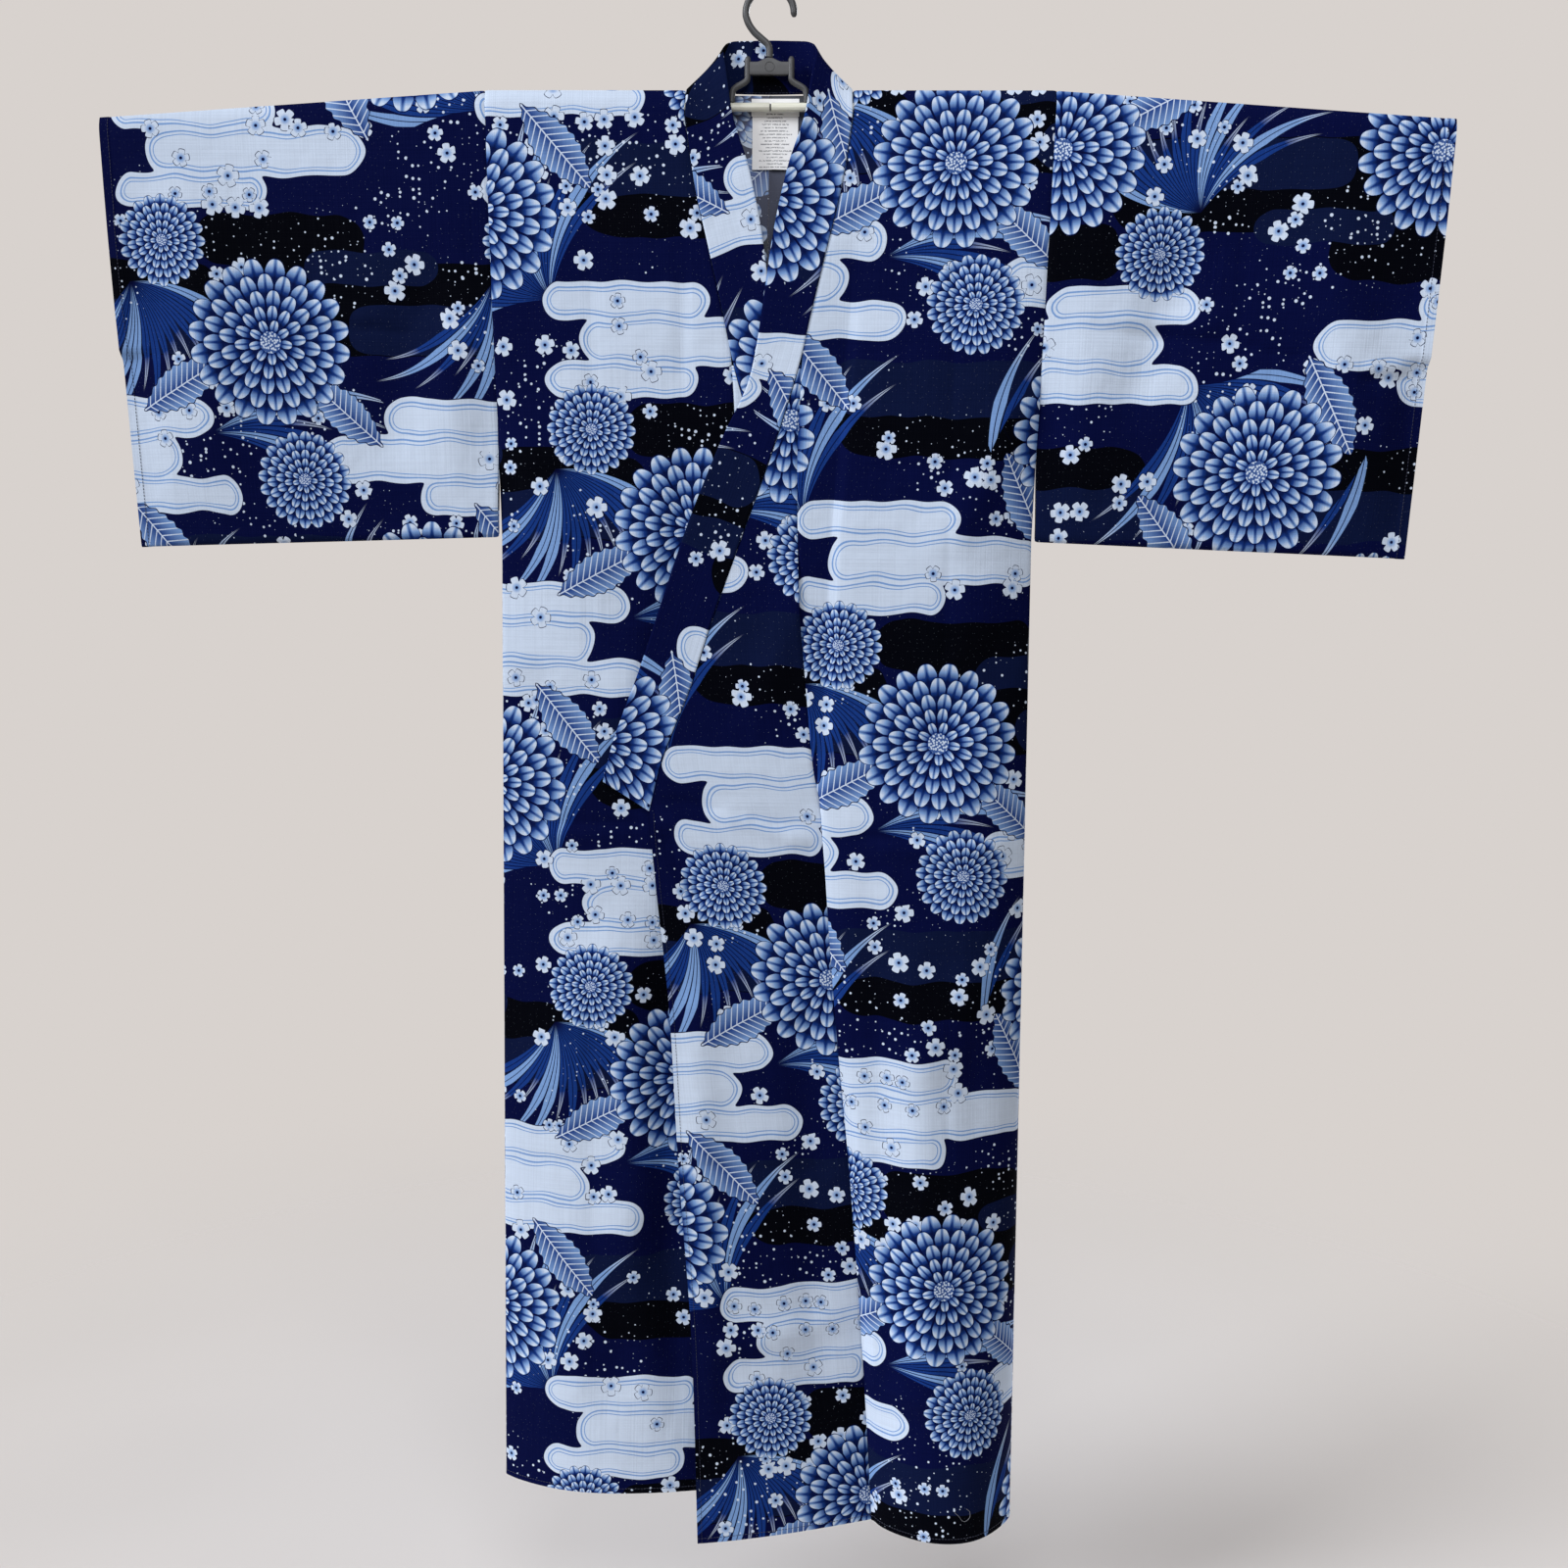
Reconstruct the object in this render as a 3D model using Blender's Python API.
"""Cotton yukata robe, hung flat on a telescopic kimono hanger.

The robe is cut from straight strips: two body strips that run from the front hem over the
shoulder to the back hem, two overlap panels, one folded collar band and two sleeves. Each body
strip is two solids, its front and its back, parted at the pressed shoulder crease. The left
front lies over the right front. Right and left are the wearer's; +X is the wearer's left, -Y
the front, and the origin is the point under the top of the hanger's hook.
"""

import math
from collections import namedtuple

import bmesh
import bpy
from mathutils import Vector

# ---------------------------------------------------------------- driving dimensions, in metres
MM = 0.001
CLOTH = 1.2 * MM              # wall of one layer of cloth
BAND = 2.0 * MM               # wall of the folded collar band
LABEL = 1.0 * MM              # wall of a sewn-in label
SEAM_GAP = 0.3 * MM           # space between two pieces at a seam
PROUD = 0.5 * MM              # how far the collar band stands in front of the seam it is sewn to

HOOK_RISE = 110 * MM          # from the bar's axis up to the inside of the hook's top
BAR_RADIUS = 4.25 * MM
ROD_RADIUS = 3.5 * MM
BAR_HALF = 262 * MM           # the bar reaches this far to each side, and the rod takes over
ROD_END = 655 * MM            # the drawn-out rods end just inside the cuffs

SHOULDER = 15.5 * MM          # the pressed shoulder crease above the bar's axis
SHOULDER_HALF = 285.6 * MM    # centre back to the sleeve seam at the shoulder
UNDERARM = -427 * MM          # the sleeve's lower corner, measured from the bar
UNDERARM_HALF = 273.5 * MM
HEM_HALF = 281 * MM
NECK_HALF = 84 * MM           # half the neck cut, on the shoulder crease
NECK_BACK = 14 * MM           # the neck cut at the centre back
NECK_BEHIND = 9.5 * MM        # the back of the neck stands this far behind the bar's plane
NECK_BEHIND_HALF = 50 * MM    # the whole of that out to here, none of it NECK_BEHIND_FADE further out
NECK_BEHIND_FADE = 40 * MM
NECK_BEHIND_LOW = -100 * MM   # none of it down here, the whole of it NECK_BEHIND_RISE further up
NECK_BEHIND_RISE = 60 * MM
CUT_POINT = -243 * MM         # where the neck cut meets the overlap panel
BAND_END = -710 * MM          # the band's lower end, along its seam
HEM_RIGHT = -1462.6 * MM
HEM_LEFT = -1494.6 * MM
HEM_LEFT_PANEL = -1497 * MM
HEM_LEFT_CORNER = -1503 * MM
HEM_CENTRE_BACK = -1478 * MM

CUFF_TOP = Vector((679, -11)) * MM        # x and height of the sleeve's outer corners
CUFF_BOTTOM = Vector((653, -440.5)) * MM
SLEEVE_INNER_BOTTOM = Vector((277, -427)) * MM
CUFF_OPENING = 230 * MM                   # the hand opening, from the top of the cuff

# The band's seam and free edge, from the shoulder down: height and x of both, depth of the free edge
# in front of the seam. The same row serves both sides, mirrored.
BandRow = namedtuple("BandRow", "seam_z seam_x free_z free_x free_front")
BAND_FRONT = [
    BandRow(3, 84.5, 38, 43.5, 0.0),
    BandRow(-5, 85.0, 22, 41.0, 3.0),
    BandRow(-25, 82.5, -5, 37.0, 5.0),
    BandRow(-79, 74.0, -60, 19.5, 3.0),
    BandRow(-135, 61.0, -122, 6.0, 1.0),
    BandRow(-190, 48.0, -178, -2.0, 1.0),
    BandRow(-243, 36.5, -240, -11.0, 1.0),
    BandRow(-284, 25.0, -270, -18.0, 1.0),
    BandRow(-345, 5.6, -326, -44.0, 1.0),
    BandRow(-431, -25.0, -413, -79.0, 1.0),
    BandRow(-502, -50.0, -484, -103.0, 1.0),
    BandRow(-580, -75.0, -560, -128.0, 1.0),
    BandRow(-662, -106.0, -644, -158.0, 1.0),
    BandRow(-710, -117.5, -679, -166.5, 1.0),
]
# Round the back of the neck, from the shoulder crease to the centre.
NeckRow = namedtuple("NeckRow", "seam_x seam_z free_x free_y free_z")
BAND_NECK = [
    NeckRow(84, 15.5, 46.0, 0.0, 53.0),
    NeckRow(70, 14.8, 43.5, 7.0, 62.5),
    NeckRow(45, 14.3, 35.0, 13.0, 67.0),
    NeckRow(22, 14.1, 19.0, 15.0, 68.0),
    NeckRow(0, 14.0, 0.0, 15.5, 68.5),
]

# The left front, which lies on top. Depths are in front of the bar's plane.
LeftRow = namedtuple("LeftRow", "z seam_x fold_x under seam fold bulge")
LEFT_FRONT = [
    LeftRow(14.6, 84.0, 108.0, 0, 0.9, 0.9, 0),
    LeftRow(3, 84.5, 108.0, 0, 5.0, 5.0, 0),
    LeftRow(-5, 85.0, 107.0, 0, 5.3, 5.3, 0),
    LeftRow(-25, 82.5, 106.0, 0, 6.0, 5.8, 0),
    LeftRow(-79, 74.0, 102.0, 0, 8.5, 7.5, 1),
    LeftRow(-135, 61.0, 97.0, 0, 11.5, 9.5, 1),
    LeftRow(-190, 48.0, 92.0, 0, 13.5, 11.5, 2),
    LeftRow(-243, 36.5, 88.0, 0, 14.0, 13.0, 3),
    LeftRow(-284, 34.8, 84.5, 0, 14.0, 14.0, 3),
    LeftRow(-345, 32.6, 81.0, 0, 14.0, 14.5, 3),
    LeftRow(-431, 34.0, 74.5, 0, 14.0, 15.0, 3),
    LeftRow(-502, 37.0, 73.0, 0, 14.0, 15.0, 4),
    LeftRow(-580, 44.0, 70.5, 0, 13.5, 15.5, 5),
    LeftRow(-662, 52.5, 67.0, 2, 13.0, 16.0, 6),
    LeftRow(-710, 62.0, 62.0, 6, 12.0, 16.0, 8),
    LeftRow(-780, 71.0, 66.5, 12, 11.5, 16.0, 11),
    LeftRow(-920, 84.0, 78.0, 18, 11.5, 16.0, 17),
    LeftRow(-1105, 103.0, 97.0, 24, 11.0, 16.0, 26),
    LeftRow(-1300, 120.0, 113.5, 28, 11.0, 15.5, 35),
    LeftRow(-1500, 134.0, 127.5, 32, 10.5, 15.0, 43),
]

# The right front, which lies under.
RightRow = namedtuple("RightRow", "z seam_x seam bulge")
RIGHT_FRONT = [
    RightRow(14.6, 84.0, 0.9, 0),
    RightRow(3, 84.5, 5.0, 0),
    RightRow(-5, 85.0, 5.3, 0),
    RightRow(-25, 82.5, 6.0, 0),
    RightRow(-79, 74.0, 7.5, 0),
    RightRow(-135, 61.0, 8.0, 1),
    RightRow(-190, 48.0, 8.5, 1),
    RightRow(-243, 36.5, 8.5, 2),
    RightRow(-345, 30.0, 8.5, 2),
    RightRow(-502, 22.0, 8.5, 3),
    RightRow(-710, 12.0, 9.0, 5),
    RightRow(-1000, 5.0, 9.0, 11),
    RightRow(-1470, 2.0, 9.0, 25),
]

# The overlap panels' front edges: the band's seam down to its end, then a free hemmed edge.
EdgeRow = namedtuple("EdgeRow", "z left_x left_front right_x right_front")
OVERLAP_EDGE = [
    EdgeRow(-243, -36.5, 14.0, 36.5, 8.5),
    EdgeRow(-284, -25.0, 14.3, 25.0, 8.3),
    EdgeRow(-345, -5.6, 14.6, 5.6, 8.0),
    EdgeRow(-431, 25.0, 15.2, -25.0, 7.6),
    EdgeRow(-502, 50.0, 15.7, -50.0, 7.2),
    EdgeRow(-580, 75.0, 16.6, -75.0, 6.8),
    EdgeRow(-662, 106.0, 18.0, -106.0, 6.4),
    EdgeRow(-710, 117.5, 19.5, -117.5, 6.0),
    EdgeRow(-780, 111.5, 22.5, -115.0, 5.6),
    EdgeRow(-920, 95.5, 29.5, -108.0, 5.0),
    EdgeRow(-1080, 85.0, 37.5, -98.0, 4.5),
    EdgeRow(-1280, 69.0, 47.5, -90.0, 4.0),
    EdgeRow(-1500, 61.0, 58.0, -84.0, 3.0),
]

# The back, behind the bar's plane, and how far its soft flutes swing either way.
FLUTE_WIDTH = 165 * MM
BackRow = namedtuple("BackRow", "z back flute")
BACK = [
    BackRow(14.6, 0.9, 0.0),
    BackRow(3, 5.0, 0.0),
    BackRow(-5, 5.3, 0.0),
    BackRow(-80, 7.5, 0.0),
    BackRow(-300, 9.5, 0.5),
    BackRow(-700, 10.0, 1.5),
    BackRow(-1500, 10.5, 4.5),
]

# Half the gap between front and back along the body's side, and along the sleeve's inner mouth.
SideRow = namedtuple("SideRow", "z body sleeve")
SIDE = [
    SideRow(14.6, 0.9, 0.9),
    SideRow(3, 5.0, 5.0),
    SideRow(-5, 5.3, 5.3),
    SideRow(-80, 7.0, 7.0),
    SideRow(-180, 7.0, 7.0),
    SideRow(-260, 4.5, 4.5),
    SideRow(-322, 0.75, 0.95),
    SideRow(-370, 0.75, 4.5),
    SideRow(-415, 0.75, 4.5),
    SideRow(-1500, 0.75, 4.5),
]

FRONT_BELOW_BAND = [0.045, 0.09, 0.18, 0.27, 0.37, 0.47, 0.57, 0.67, 0.77, 0.87, 0.94, 1.0]
BACK_ROWS = [-30, -80, -150, -210, -270, -322, -345, -427, -520, -620, -720,
             -830, -940, -1050, -1160, -1260, -1360, -1420]
LEFT_COLUMNS = 13             # side seam to overlap seam, with the pleat in the last five
PLEAT_COLUMNS = 5
RIGHT_COLUMNS = 9
BACK_COLUMNS = 10
CREASE_HALF = 0.75 * MM       # the middle of a body wall stands this far from the crease's plane
OVERLAP_COLUMNS = 6
OVERLAP_TOP = 0.25            # a panel's point is cut off this share of the way down its first row
OVERLAP_CROWN = 0.5           # how far a panel follows a quarter round on its way to its edge
BAND_COLUMNS = 4
BAND_CROWN = 0.6 * MM         # how far the band's middle stands out of the flat
BAND_CROWN_NECK = 2.5 * MM
BAND_CROWN_BACK = 1.5 * MM
BAND_TURN = 40 * MM           # the stretch below the shoulder in which the band turns into its front
BAND_TURN_HALF = 60 * MM      # it is set back from here outwards, and less and less to the centre back
BAND_SET_BACK = 1.6 * MM      # the band's gap to the seam where it turns over the shoulder
SIDE_ROUND = 0.35             # share of a front in which it rounds out of its side seam
BACK_ROUND = 0.3              # the same for a back
LEFT_BULGE_POWER = 0.7        # under 1, the top front's bulge is fuller at its sides
RIGHT_BULGE_POWER = 0.8       # under 1, the under front's bulge leans to its side seam
LEFT_CROWDING = 0.6           # how far the top front's columns crowd to its sides by the hem

# The left front's pleat, beside the overlap's seam.
PLEAT_START = -120 * MM       # it starts here as a soft step
PLEAT_FORMED = -300 * MM
PLEAT_OPEN = -640 * MM        # from here down it turns under
PLEAT_SHUT = -780 * MM        # below this it is a fold that lies flat
PLEAT_LEAD = 3.5 * MM         # half the width of the fold's round
PLEAT_STEP = 1.5 * MM         # half the height of the soft step
PLEAT_FOOT = 8 * MM           # from the fold to the foot of the soft step
# Depth of the three lower points of the shut pleat behind its fold: turn, layer below, seam.
PLEAT_LAYERS = (1.8 * MM, 4.4 * MM, 4.6 * MM)

# Back rows that fan up to the neck cut: heights at the side seam and at the cut, the half width
# from which a row climbs, and the half width of the cut on that row.
NeckCutRow = namedtuple("NeckCutRow", "outer_z climb_from cut_x cut_z")
NECK_CUT = [
    NeckCutRow(10.5, 115, 70, 14.8),
    NeckCutRow(3, 105, 45, 14.3),
    NeckCutRow(-5, 90, SEAM_GAP / MM / 2, 14.0),
]

# One sleeve's section: how far down from the crease, and half its depth there.
SleeveRow = namedtuple("SleeveRow", "drop depth")
SLEEVE_SECTION = [
    SleeveRow(0.9, 0.9),
    SleeveRow(13, 4.6),
    SleeveRow(40, 6.0),
    SleeveRow(95, 8.0),
    SleeveRow(160, 8.5),
    SleeveRow(228, 8.5),
    SleeveRow(262, 8.5),
    SleeveRow(320, 8.0),
    SleeveRow(380, 6.5),
    SleeveRow(425, 3.5),
]
SLEEVE_STATIONS = [0.0, 0.03, 0.1, 0.22, 0.36, 0.5, 0.64, 0.78, 0.9, 0.97, 1.0]
SLEEVE_WAVE = 1.5 * MM        # the sleeve's soft waves swing this far either way
SLEEVE_WAVE_COUNT = 1.5
SLEEVE_WAVE_START = 0.8       # phase at the inner mouth, in radians
SLEEVE_BLEND = 0.12           # share of the sleeve in which it opens out of its mouth or cuff
CUFF_SHUT = 0.8 * MM          # half depth of the closed part of the cuff

# Labels sewn inside the back neck: their edges, and how many label layers they lie in front.
LabelSize = namedtuple("LabelSize", "left right top bottom layer")
SIZE_LABEL = LabelSize(-18, 30, 10, -7, 1)
CARE_LABEL = LabelSize(-17, 29, -2, -58.5, 0)
LABEL_SPANS = 4
LABEL_STAND = CLOTH / 2 + 2 * SEAM_GAP + LABEL / 2

# The hanger. Heights are above the bar's axis.
HOOK_WIRE = 3.5 * MM
HOOK_RADIUS = 23.9 * MM       # to the middle of the wire
HOOK_SWEEP = 188              # degrees from the tip round to the stem
HOOK_STEPS = 14
ROUND_SIDES = 10
BAR_SIDES = 12
YOKE_THICK = 4.6 * MM
LEG_RADIUS = 3.1 * MM
OutlinePoint = namedtuple("OutlinePoint", "x z")
# The hook's stem, from the left of its round to the yoke's boss.
STEM = [OutlinePoint(-21.6, 80.5), OutlinePoint(-15.6, 71.8), OutlinePoint(-7.2, 64.5),
        OutlinePoint(-1.4, 59.0), OutlinePoint(0.0, 53.8), OutlinePoint(0.0, 47.4)]
# Half the yoke's plate, from the top of its boss out and down.
PLATE = [OutlinePoint(4.6, 47.1), OutlinePoint(6.5, 45.0), OutlinePoint(12.0, 43.5),
         OutlinePoint(21.8, 43.0), OutlinePoint(21.8, 30.5)]
# One leg of the yoke, from its round top to the bar.
LEG = [OutlinePoint(21.8, 44.5), OutlinePoint(21.8, 27.5), OutlinePoint(36.3, 15.5),
       OutlinePoint(37.6, 4.6)]

# Colours are linear.
PRINTED_COTTON = (0.07, 0.10, 0.24)
WHITE_SATIN = (0.85, 0.86, 0.87)
DARK_GREY = (0.07, 0.07, 0.075)
CREAM = (0.78, 0.77, 0.66)


# ---------------------------------------------------------------- small helpers
def ease(value):
    """0 to 1 with level ends."""
    t = min(1.0, max(0.0, value))
    return t * t * (3 - 2 * t)


def mix(a, b, share):
    return a + (b - a) * share


def quarter_round(value):
    """0 to 1 along a quarter of a round: steep at first, level from 1 on."""
    return math.sin(math.pi / 2 * min(1.0, value))


def read(table, z, column):
    """A table's column at a height, straight between its rows; heights and values in metres."""
    height = z / MM
    if height >= table[0].z:
        return getattr(table[0], column) * MM
    for upper, lower in zip(table, table[1:]):
        if height >= lower.z:
            share = (upper.z - height) / (upper.z - lower.z)
            return mix(getattr(upper, column), getattr(lower, column), share) * MM
    return getattr(table[-1], column) * MM


def half_width(z):
    """Centre to side seam at a height."""
    if z > UNDERARM:
        return mix(SHOULDER_HALF, UNDERARM_HALF, (SHOULDER - z) / (SHOULDER - UNDERARM))
    return mix(UNDERARM_HALF, HEM_HALF, (UNDERARM - z) / (UNDERARM - HEM_LEFT))


def world(x, y, z):
    """A point measured from the bar's axis, in the part's own frame."""
    return Vector((x, y, z - HOOK_RISE))


# ---------------------------------------------------------------- cloth walls
def grid_normals(rows, closed=False):
    """A unit normal for each point of a grid, from its neighbours along and across."""
    last_row, last_column = len(rows) - 1, len(rows[0]) - 1
    normals = []
    for i, row in enumerate(rows):
        line = []
        for j in range(len(row)):
            if closed:
                across = row[(j + 1) % len(row)] - row[j - 1]
            else:
                across = row[min(j + 1, last_column)] - row[max(j - 1, 0)]
            along = rows[min(i + 1, last_row)][j] - rows[max(i - 1, 0)][j]
            line.append(across.cross(along).normalized())
        normals.append(line)
    return normals


def wall_object(name, rows, wall, material, closed=False):
    """A closed wall round a grid of middle points. A closed grid is a tube, open at both ends."""
    mesh = bmesh.new()
    normals = grid_normals(rows, closed)
    sides = []
    for sign in (1, -1):
        sides.append([[mesh.verts.new(point + normal * (sign * wall / 2))
                       for point, normal in zip(row, line)] for row, line in zip(rows, normals)])
    outer, inner = sides
    columns = len(rows[0])
    spans = columns if closed else columns - 1
    for i in range(len(rows) - 1):
        for j in range(spans):
            k = (j + 1) % columns
            mesh.faces.new((outer[i][j], outer[i][k], outer[i + 1][k], outer[i + 1][j]))
            mesh.faces.new((inner[i][j], inner[i + 1][j], inner[i + 1][k], inner[i][k]))
    for i in (0, len(rows) - 1):
        for j in range(spans):
            k = (j + 1) % columns
            mesh.faces.new((outer[i][j], inner[i][j], inner[i][k], outer[i][k]))
    if not closed:
        for j in (0, columns - 1):
            for i in range(len(rows) - 1):
                mesh.faces.new((outer[i][j], outer[i + 1][j], inner[i + 1][j], inner[i][j]))
    bmesh.ops.recalc_face_normals(mesh, faces=mesh.faces)
    return mesh_object(name, mesh, material)


def mesh_object(name, mesh, material):
    bmesh.ops.triangulate(mesh, faces=mesh.faces)
    data = bpy.data.meshes.new(name)
    mesh.to_mesh(data)
    mesh.free()
    data.materials.append(material)
    data.shade_smooth()
    data.set_sharp_from_angle(angle=math.radians(40))
    part = bpy.data.objects.new(name, data)
    bpy.context.scene.collection.objects.link(part)
    return part


# ---------------------------------------------------------------- the two body strips
def front_row(side, z, hem_shift):
    """One row across a front, from the side seam to the neck, band or overlap seam.

    hem_shift lowers the row by a share of the way to each column's own hem height."""
    if side > 0:
        points = left_section(z)
    else:
        points = right_section(z)
    return [world(x, -front, z + hem_shift * share) for x, front, share in points]


def left_section(z):
    """The top front's section, as x, depth in front of the bar and share of the way across.

    From the side seam it runs over the front's bulge to the pleat's fold. Above, the pleat is a
    soft step towards the neck; below, it turns under and runs back, flat, to the overlap's seam."""
    outer, side = half_width(z), read(SIDE, z, "body")
    fold_x, fold = read(LEFT_FRONT, z, "fold_x"), read(LEFT_FRONT, z, "fold")
    seam_x, seam = read(LEFT_FRONT, z, "seam_x"), read(LEFT_FRONT, z, "seam")
    under, bulge = read(LEFT_FRONT, z, "under"), read(LEFT_FRONT, z, "bulge")
    step = PLEAT_STEP * ease((PLEAT_START - z) / (PLEAT_START - PLEAT_FORMED))
    shut = ease((PLEAT_OPEN - z) / (PLEAT_OPEN - PLEAT_SHUT))
    crowding = LEFT_CROWDING * ease(z / HEM_LEFT)
    spans = LEFT_COLUMNS - PLEAT_COLUMNS
    section = []
    for k in range(spans + 1):
        share = mix(k / spans, (1 - math.cos(math.pi * k / spans)) / 2, crowding)
        depth = mix(side, fold, quarter_round(share / SIDE_ROUND))
        depth += bulge * math.sin(math.pi * share) ** LEFT_BULGE_POWER + step * ease(share * 4 - 3)
        section.append((mix(outer, fold_x + PLEAT_LEAD, share), depth))
    turn, layer, root = PLEAT_LAYERS
    foot_x, foot = fold_x - PLEAT_FOOT, fold - 2 * step
    soft = [(fold_x, fold), (fold_x - PLEAT_LEAD, fold - step), (foot_x, foot),
            (mix(foot_x, seam_x, 0.5), mix(foot, seam, 0.6)), (seam_x, seam)]
    flat = [(fold_x, fold), (fold_x + PLEAT_LEAD, fold - PLEAT_STEP), (fold_x + under, fold - turn),
            (fold_x + under, fold - layer), (seam_x, fold - root)]
    for (soft_x, soft_depth), (flat_x, flat_depth) in zip(soft, flat):
        section.append((mix(soft_x, flat_x, shut), mix(soft_depth, flat_depth, shut)))
    last = len(section) - 1
    return [(x, depth, k / last) for k, (x, depth) in enumerate(section)]


def right_section(z):
    """The same for the front that lies under."""
    outer, side = half_width(z), read(SIDE, z, "body")
    seam_x, seam = read(RIGHT_FRONT, z, "seam_x"), read(RIGHT_FRONT, z, "seam")
    bulge = read(RIGHT_FRONT, z, "bulge")
    section = []
    for k in range(RIGHT_COLUMNS + 1):
        share = k / RIGHT_COLUMNS
        depth = mix(side, seam, quarter_round(share / SIDE_ROUND))
        depth += bulge * math.sin(math.pi * share ** RIGHT_BULGE_POWER)
        section.append((-mix(outer, seam_x, share), depth, share))
    return section


def back_depth(side, x, z, share):
    """How far the back stands behind the bar's plane, share of the way from side seam to centre."""
    flute = read(BACK, z, "flute") * math.cos(2 * math.pi * (x / FLUTE_WIDTH + 0.1 * side))
    depth = mix(read(SIDE, z, "body"), read(BACK, z, "back") + flute, quarter_round(share / BACK_ROUND))
    near_neck = ease((NECK_BEHIND_HALF + NECK_BEHIND_FADE - x) / NECK_BEHIND_FADE)
    near_neck *= ease((z - NECK_BEHIND_LOW) / NECK_BEHIND_RISE)
    return mix(depth, NECK_BEHIND, near_neck)


def back_row(side, columns, outer_z, inner_x, inner_z, climb_from=SHOULDER_HALF):
    """One row across a back, from the side seam to the centre seam or the neck cut.

    From climb_from inwards the row climbs from its outer to its inner height."""
    row = []
    for k in range(columns + 1):
        share = k / columns
        x = mix(half_width(outer_z), inner_x, share)
        z = mix(outer_z, inner_z, ease((climb_from - x) / (climb_from - inner_x)))
        row.append(world(side * x, back_depth(side, x, z, share), z))
    return row


def front_heights(hem):
    """Height at the seam, and share of the way from the band's end to the hem, for each front row."""
    heights = [(row.seam_z * MM, 0.0) for row in BAND_FRONT]
    return heights + [(mix(BAND_END, hem, share), share) for share in FRONT_BELOW_BAND]


def front_rows(side):
    """Rows of a front from the first below the crease down to the hem."""
    hem, hem_seam = (HEM_LEFT, HEM_LEFT_PANEL) if side > 0 else (HEM_RIGHT, HEM_RIGHT)
    return [front_row(side, z, (hem_seam - hem) * share) for z, share in front_heights(hem)]


def crease_row(side, columns, y):
    """The row beside the pressed shoulder crease, from the sleeve seam to the neck."""
    return [world(side * mix(SHOULDER_HALF, NECK_HALF, k / columns), y, SHOULDER)
            for k in range(columns + 1)]


def body_front(name, side, material):
    """The front of a body strip, from the shoulder crease to the hem."""
    columns = LEFT_COLUMNS if side > 0 else RIGHT_COLUMNS
    rows = [crease_row(side, columns, -CREASE_HALF)] + front_rows(side)
    return wall_object(name, rows, CLOTH, material)


def body_back(name, side, material):
    """The back of the same strip, from the shoulder crease past the neck cut to the hem."""
    columns = BACK_COLUMNS
    seam_x = SEAM_GAP / 2
    rows = [crease_row(side, columns, CREASE_HALF)]
    for cut in NECK_CUT:
        rows.append(back_row(side, columns, cut.outer_z * MM, cut.cut_x * MM, cut.cut_z * MM,
                             cut.climb_from * MM))
    for z in BACK_ROWS:
        rows.append(back_row(side, columns, z * MM, seam_x, z * MM))
    hem = HEM_LEFT if side > 0 else HEM_RIGHT
    rows.append(back_row(side, columns, hem, seam_x, HEM_CENTRE_BACK))
    return wall_object(name, rows, CLOTH, material)


# ---------------------------------------------------------------- overlap panels
def overlap_panel(name, side, material):
    """The tapered front panel between the body strip's seam and the band or free edge."""
    column_x, column_front = ("left_x", "left_front") if side > 0 else ("right_x", "right_front")
    hem_seam, hem_corner = (HEM_LEFT_PANEL, HEM_LEFT_CORNER) if side > 0 else (HEM_RIGHT, HEM_RIGHT)
    pairs = []
    for seam, (z, share) in zip([row[-1] for row in front_rows(side)], front_heights(hem_seam)):
        if z > CUT_POINT + SEAM_GAP:
            continue
        edge_z = z + (hem_corner - hem_seam) * share
        edge = world(-read(OVERLAP_EDGE, z, column_x), -read(OVERLAP_EDGE, z, column_front), edge_z)
        pairs.append((seam, edge))
    pairs[0] = tuple(above.lerp(below, OVERLAP_TOP) for above, below in zip(pairs[0], pairs[1]))
    rows = []
    for seam, edge in pairs:
        start = seam + (edge - seam).normalized() * SEAM_GAP
        row = []
        for k in range(OVERLAP_COLUMNS + 1):
            share = k / OVERLAP_COLUMNS
            point = start.lerp(edge, share)
            point.y += (edge.y - start.y) * (quarter_round(share) - share) * OVERLAP_CROWN
            row.append(point)
        rows.append(row)
    return wall_object(name, rows, CLOTH, material)


# ---------------------------------------------------------------- the collar band
def band_half(side):
    """Seam point, free edge and crown for each station of one half, from the shoulder down."""
    stations = []
    for index, row in enumerate(BAND_FRONT):
        z = row.seam_z * MM
        if z >= CUT_POINT:
            front = read(LEFT_FRONT if side > 0 else RIGHT_FRONT, z, "seam")
        else:
            front = read(OVERLAP_EDGE, z, "left_front" if side > 0 else "right_front")
        front += PROUD
        lift = row.free_front * MM if side > 0 or z > CUT_POINT else 0.0
        seam = world(side * row.seam_x * MM, -front, z)
        free = world(side * row.free_x * MM, -front - lift, row.free_z * MM)
        stations.append((seam, free, BAND_CROWN_NECK if index < 3 else BAND_CROWN))
    return stations


def band_neck(side):
    """The same round the back of the neck, from the shoulder crease to the centre."""
    stations = []
    for row in BAND_NECK:
        on_crease = row.seam_x * MM >= NECK_HALF
        seam_y = 0.0 if on_crease else back_depth(side, row.seam_x * MM, row.seam_z * MM, 1.0)
        stations.append((world(side * row.seam_x * MM, seam_y, row.seam_z * MM),
                         world(side * row.free_x * MM, row.free_y * MM, row.free_z * MM),
                         BAND_CROWN_BACK))
    return stations


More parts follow.
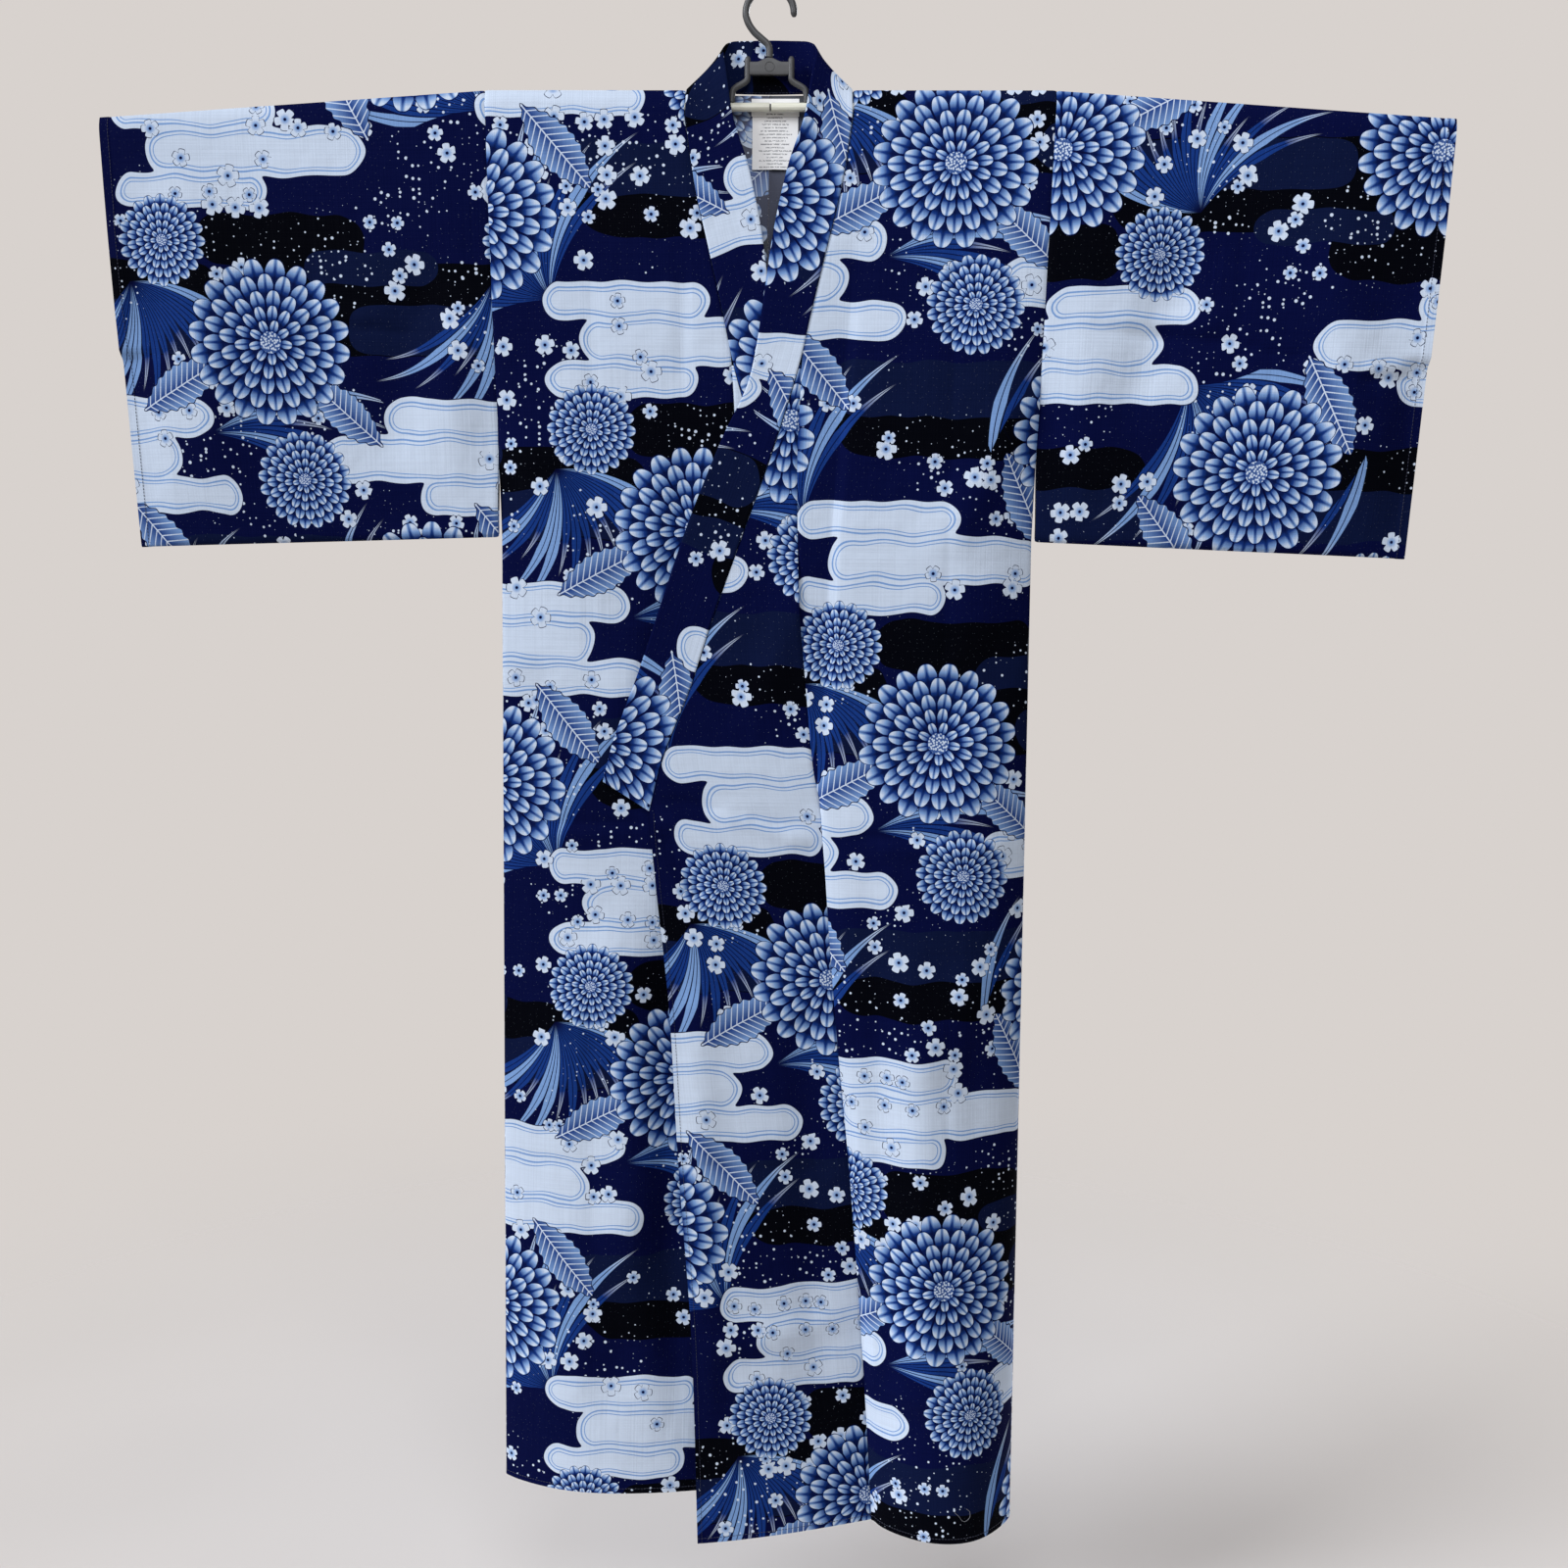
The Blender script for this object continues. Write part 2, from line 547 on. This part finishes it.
def collar_band(name, material):
    """One folded band from the right end, up round the neck and down to the left end."""
    stations = (band_half(-1)[::-1] + band_neck(-1) + band_neck(1)[-2::-1] + band_half(1))
    rows = []
    crowns = []
    for seam, free, crown in stations:
        near_shoulder = ease((seam.z + HOOK_RISE + BAND_TURN) / BAND_TURN)
        near_shoulder *= ease(abs(seam.x) / BAND_TURN_HALF)
        back_from_seam = mix(SEAM_GAP + PROUD, BAND_SET_BACK, near_shoulder)
        start = seam + (free - seam).normalized() * back_from_seam
        rows.append([start.lerp(free, k / BAND_COLUMNS) for k in range(BAND_COLUMNS + 1)])
        crowns.append([crown * math.sin(math.pi * k / BAND_COLUMNS) for k in range(BAND_COLUMNS + 1)])
    normals = grid_normals(rows)
    crowned = [[point + normal * crown for point, normal, crown in zip(*lines)]
               for lines in zip(rows, normals, crowns)]
    return wall_object(name, crowned, BAND, material)


# ---------------------------------------------------------------- sleeves
def sleeve_depth(place_z, drop, depth, station):
    """Half depth of a sleeve: as its armhole at the inner mouth, nearly flat where the cuff is shut."""
    depth = mix(min(read(SIDE, place_z, "sleeve"), depth), depth, ease(station / SLEEVE_BLEND))
    if drop > CUFF_OPENING:
        depth = mix(depth, CUFF_SHUT, ease((station - 1 + SLEEVE_BLEND) / SLEEVE_BLEND))
    return depth


def sleeve(name, side, material):
    """A flat tube: pressed crease along the rod, bottom seam drawn shut, open at both ends."""
    top_in = Vector((SHOULDER_HALF + SEAM_GAP * 1.3, SHOULDER))
    rows = []
    for station in SLEEVE_STATIONS:
        top = top_in.lerp(CUFF_TOP, station)
        bottom = SLEEVE_INNER_BOTTOM.lerp(CUFF_BOTTOM, station)
        down = (bottom - top).normalized()
        swing = SLEEVE_WAVE * math.sin(2 * math.pi * SLEEVE_WAVE_COUNT * station + SLEEVE_WAVE_START)
        swing *= ease(station * 8) * ease((1 - station) * 8)
        front = [world(side * top.x, 0.0, top.y)]
        back = []
        for row in SLEEVE_SECTION:
            place = top + down * min(row.drop * MM, (top - bottom).length)
            depth = sleeve_depth(place.y - top.y + SHOULDER, row.drop * MM, row.depth * MM, station)
            wave = swing * ease(row.drop / 160)
            front.append(world(side * place.x, -depth - wave, place.y))
            back.append(world(side * place.x, depth - wave, place.y))
        front.append(world(side * bottom.x, 0.0, bottom.y))
        rows.append(front + back[::-1])
    return wall_object(name, rows, CLOTH, material, closed=True)


# ---------------------------------------------------------------- labels inside the back neck
def neck_label(name, size, material):
    """A flat label sewn inside the back neck, moved forward out of the back's own points."""
    rows = []
    for i in range(LABEL_SPANS + 1):
        z = mix(size.top, size.bottom, i / LABEL_SPANS) * MM
        row = []
        for k in range(LABEL_SPANS + 1):
            x = mix(size.left, size.right, k / LABEL_SPANS) * MM
            behind = back_depth(1, abs(x), z, 1.0) - LABEL_STAND - size.layer * (LABEL + SEAM_GAP)
            row.append(world(x, behind, z))
        rows.append(row)
    return wall_object(name, rows, LABEL, material)


# ---------------------------------------------------------------- the hanger
def tube(name, path, radius, sides, material, cap_round=0.0):
    """A round wire along a path, with flat or slightly rounded ends."""
    mesh = bmesh.new()
    rings = []
    count = len(path)
    for i, point in enumerate(path):
        direction = (path[min(i + 1, count - 1)] - path[max(i - 1, 0)]).normalized()
        across = direction.cross(Vector((0, 1, 0))).normalized()
        upright = across.cross(direction).normalized()
        shrink = 1 - cap_round if i in (0, count - 1) else 1.0
        ring = []
        for k in range(sides):
            angle = 2 * math.pi * (k + 0.5) / sides
            ring.append(mesh.verts.new(point + (across * math.cos(angle) + upright * math.sin(angle))
                                       * radius * shrink))
        rings.append(ring)
    for one, two in zip(rings, rings[1:]):
        for k in range(sides):
            nxt = (k + 1) % sides
            mesh.faces.new((one[k], one[nxt], two[nxt], two[k]))
    mesh.faces.new(rings[0])
    mesh.faces.new(rings[-1])
    bmesh.ops.recalc_face_normals(mesh, faces=mesh.faces)
    return mesh_object(name, mesh, material)


def smooth_path(points, steps):
    """A smooth curve through the points."""
    ends = [points[0] * 2 - points[1]] + points + [points[-1] * 2 - points[-2]]
    path = []
    for a, b, c, d in zip(ends, ends[1:], ends[2:], ends[3:]):
        for step in range(steps):
            t = step / steps
            path.append(0.5 * (2 * b + (c - a) * t + (2 * a - 5 * b + 4 * c - d) * t * t
                               + (3 * b - a - 3 * c + d) * t * t * t))
    path.append(points[-1])
    return path


def hook(name, material):
    """The round wire hook: most of a round from its tip, then a stem that swings in to the middle."""
    centre = world(0, 0, HOOK_RISE - HOOK_RADIUS + HOOK_WIRE)
    round_part = []
    for step in range(HOOK_STEPS + 1):
        angle = math.radians(HOOK_SWEEP * step / HOOK_STEPS)
        round_part.append(centre + Vector((math.cos(angle), 0, math.sin(angle))) * HOOK_RADIUS)
    stem = smooth_path([round_part[-1]] + [world(p.x * MM, 0, p.z * MM) for p in STEM], 2)
    return tube(name, round_part + stem[1:], HOOK_WIRE, ROUND_SIDES, material, cap_round=0.35)


def yoke(name, material):
    """A flat plate with a boss for the hook and a leg at each side that carries the bar."""
    plate = bmesh.new()
    outline = [(-p.x, p.z) for p in reversed(PLATE)] + [(p.x, p.z) for p in PLATE]
    front = [plate.verts.new(world(x * MM, -YOKE_THICK / 2, z * MM)) for x, z in outline]
    grown = bmesh.ops.extrude_face_region(plate, geom=[plate.faces.new(front)])
    moved = [item for item in grown["geom"] if isinstance(item, bmesh.types.BMVert)]
    bmesh.ops.translate(plate, verts=moved, vec=(0, YOKE_THICK, 0))
    bmesh.ops.recalc_face_normals(plate, faces=plate.faces)
    body = mesh_object(name, plate, material)
    for side in (-1, 1):
        path = smooth_path([world(side * p.x * MM, 0, p.z * MM) for p in LEG], 3)
        leg = tube(f"{name}_leg", path, LEG_RADIUS, ROUND_SIDES, material)
        union = body.modifiers.new("leg", "BOOLEAN")
        union.operation = "UNION"
        union.solver = "EXACT"
        union.object = leg
        leg.hide_render = True
        leg.display_type = "WIRE"
    return body


def bar(name, material):
    """The hanger's middle tube."""
    stations = 9
    path = [world(mix(-BAR_HALF, BAR_HALF, k / (stations - 1)), 0, 0) for k in range(stations)]
    return tube(name, path, BAR_RADIUS, BAR_SIDES, material)


def rod(name, side, material):
    """The thinner rod drawn out of the bar, drooping with the sleeve."""
    fall = (SHOULDER - CUFF_TOP.y) / (CUFF_TOP.x - SHOULDER_HALF)
    path = [world(side * (BAR_HALF + SEAM_GAP), 0, 0), world(side * SHOULDER_HALF, 0, 0)]
    stations = 6
    for k in range(1, stations + 1):
        x = mix(SHOULDER_HALF, ROD_END, k / stations)
        path.append(world(side * x, 0, -(x - SHOULDER_HALF) * fall))
    return tube(name, path, ROD_RADIUS, BAR_SIDES, material)


# ---------------------------------------------------------------- materials and assembly
def finish(name, colour, roughness, metallic=0.0):
    material = bpy.data.materials.new(name)
    material.use_nodes = True
    shader = material.node_tree.nodes["Principled BSDF"]
    shader.inputs["Base Color"].default_value = (*colour, 1.0)
    shader.inputs["Roughness"].default_value = roughness
    shader.inputs["Metallic"].default_value = metallic
    material.diffuse_color = (*colour, 1.0)
    return material


def build():
    for old in list(bpy.data.objects):
        bpy.data.objects.remove(old)
    for side, hand in ((-1, "right"), (1, "left")):
        body_front(f"body_{hand}_front", side, finish(f"body_{hand}_front", PRINTED_COTTON, 0.85))
        body_back(f"body_{hand}_back", side, finish(f"body_{hand}_back", PRINTED_COTTON, 0.85))
        overlap_panel(f"overlap_{hand}", side, finish(f"overlap_{hand}", PRINTED_COTTON, 0.85))
        sleeve(f"sleeve_{hand}", side, finish(f"sleeve_{hand}", PRINTED_COTTON, 0.85))
        rod(f"hanger_rod_{hand}", side, finish(f"hanger_rod_{hand}", CREAM, 0.4))
    collar_band("collar", finish("collar", PRINTED_COTTON, 0.85))
    neck_label("size_label", SIZE_LABEL, finish("size_label", WHITE_SATIN, 0.6))
    neck_label("care_label", CARE_LABEL, finish("care_label", WHITE_SATIN, 0.5))
    hook("hanger_hook", finish("hanger_hook", DARK_GREY, 0.45))
    yoke("hanger_yoke", finish("hanger_yoke", DARK_GREY, 0.45))
    bar("hanger_bar", finish("hanger_bar", CREAM, 0.4))


build()
